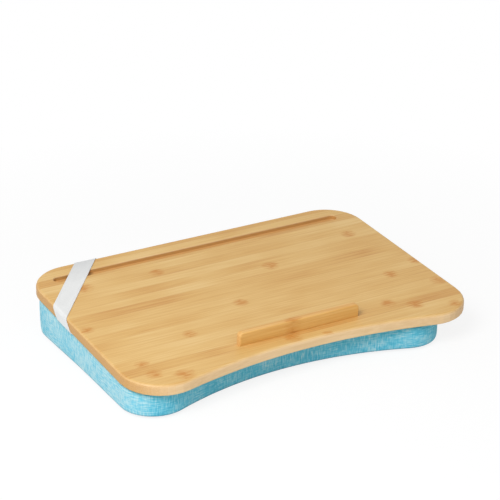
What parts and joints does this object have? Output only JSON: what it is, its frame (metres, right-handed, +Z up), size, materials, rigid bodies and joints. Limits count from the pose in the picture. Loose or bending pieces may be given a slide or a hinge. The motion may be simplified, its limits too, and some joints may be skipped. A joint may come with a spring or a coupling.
{
  "type": "lap desk",
  "caption": "Lap desk: a bamboo board with a hollow front edge, a stop ledge, a device groove and an elastic corner strap, on a filled fabric cushion whose cover closes with a zip.",
  "frame": {"origin": "centre of the bounding box's underside, where the cushion stands on a flat surface", "axes": "+X to the sitter's right along the board's width, +Y away from the sitter towards the groove, +Z up"},
  "size_m": [0.5092, 0.3531, 0.0725],
  "materials": {
    "bamboo": "edge-grain bamboo under satin lacquer",
    "ledge_bamboo": "darker bamboo under satin lacquer",
    "turquoise_cloth": "turquoise linen-like weave",
    "white_elastic": "white woven elastic",
    "white_liner": "plain white cloth",
    "bead_filling": "loose foam beads",
    "hook_tape": "pale hook tape",
    "loop_tape": "pale loop tape",
    "zip_cloth": "turquoise zip tape",
    "zip_nylon": "turquoise nylon coil",
    "steel": "bright steel",
    "zinc": "cast metal, satin"
  },
  "bodies": {
    "cushion": {"cover_top_panel": "turquoise_cloth", "cover_bottom_panel": "turquoise_cloth", "cover_band": "turquoise_cloth", "cover_rear_strip_upper": "turquoise_cloth", "cover_rear_strip_lower": "turquoise_cloth", "zip_tape_upper": "zip_cloth", "zip_tape_lower": "zip_cloth", "zip_coil_upper": "zip_nylon", "zip_coil_lower": "zip_nylon", "zip_bottom_stop": "zinc", "zip_top_stop_upper": "zinc", "zip_top_stop_lower": "zinc", "liner_lower": "white_liner", "liner_upper": "white_liner", "bead_filling": "bead_filling", "loop_tape_rear_left": "loop_tape", "loop_tape_rear_right": "loop_tape", "loop_tape_front_left": "loop_tape", "loop_tape_front_right": "loop_tape"},
    "board": {"board_panel": "bamboo", "stop_ledge": "ledge_bamboo", "ledge_screw_left": "steel", "ledge_screw_middle": "steel", "ledge_screw_right": "steel", "corner_strap": "white_elastic", "strap_staple_rear_first": "steel", "strap_staple_rear_second": "steel", "strap_staple_side_first": "steel", "strap_staple_side_second": "steel", "hook_tape_rear_left": "hook_tape", "hook_tape_rear_right": "hook_tape", "hook_tape_front_left": "hook_tape", "hook_tape_front_right": "hook_tape"},
    "zip_slider": {"zip_slider": "zinc"},
    "zip_pull": {"zip_pull": "zinc"}
  },
  "joints": [
    {"name": "board_lift", "type": "slide", "parent": "cushion", "child": "board", "axis": [0, 0, 1], "range_m": [0, 0.06]},
    {"name": "zip_run", "type": "slide", "parent": "cushion", "child": "zip_slider", "axis": [-1, 0, 0], "range_m": [0, 0.3298]},
    {"name": "zip_pull_turn", "type": "hinge", "parent": "zip_slider", "child": "zip_pull", "pos_m": [0.14705, 0.16879, 0.02847], "axis": [0, 0, -1], "range_deg": [0, 180]}
  ]
}
